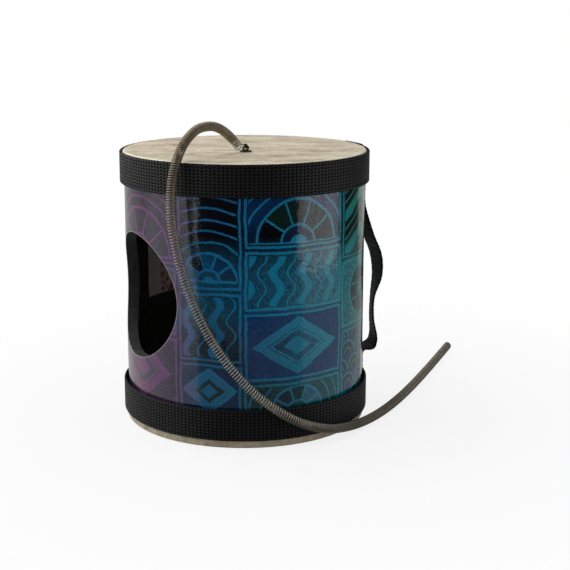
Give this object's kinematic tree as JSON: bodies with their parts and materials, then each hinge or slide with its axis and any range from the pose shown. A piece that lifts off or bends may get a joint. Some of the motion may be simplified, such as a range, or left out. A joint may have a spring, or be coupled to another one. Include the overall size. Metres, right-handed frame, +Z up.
{
  "type": "spring drum",
  "caption": "Two-headed hand drum with a round sound hole, webbing bands, a carry strap and a long coil spring hooked to its head, shaken for a thunder sound.",
  "frame": {"origin": "middle of the bottom head's lower face, on the drum's axis", "axes": "+Z up along the drum's axis, -Y towards the front, with the sound hole on the left and the strap on the right"},
  "size_m": [0.2343, 0.2266, 0.1938],
  "materials": {
    "fibre": "matt dark fibre tube",
    "film": "glossy printed film",
    "skin": "cream skin-like head",
    "webbing": "black ribbed webbing",
    "dark_metal": "dark bronzed steel",
    "spring_steel": "dark spring steel",
    "zinc": "zinc plate",
    "paper": "plain paper"
  },
  "bodies": {
    "drum": {"shell": "fibre", "print_wrap": "film", "top_head": "skin", "bottom_head": "skin", "top_band": "webbing", "bottom_band": "webbing", "head_grommet": "dark_metal", "eye_washer": "zinc", "carry_strap": "webbing", "upper_strap_screw": "dark_metal", "lower_strap_screw": "dark_metal", "upper_strap_washer": "zinc", "lower_strap_washer": "zinc", "upper_strap_nut": "zinc", "lower_strap_nut": "zinc", "inner_label": "paper"},
    "eye": {"spring_eye": "dark_metal"},
    "spring": {"spring": "spring_steel"}
  },
  "joints": [
    {"name": "eye_swivel", "type": "hinge", "parent": "drum", "child": "eye", "pos_m": [0.001, -0.02, 0.1734], "axis": [0, 0, 1], "range_deg": [-8, 2]},
    {"name": "spring_lift", "type": "hinge", "parent": "eye", "child": "spring", "pos_m": [0.001, -0.02, 0.1757], "axis": [-0.7071, -0.7071, 0], "range_deg": [0, 70]}
  ]
}
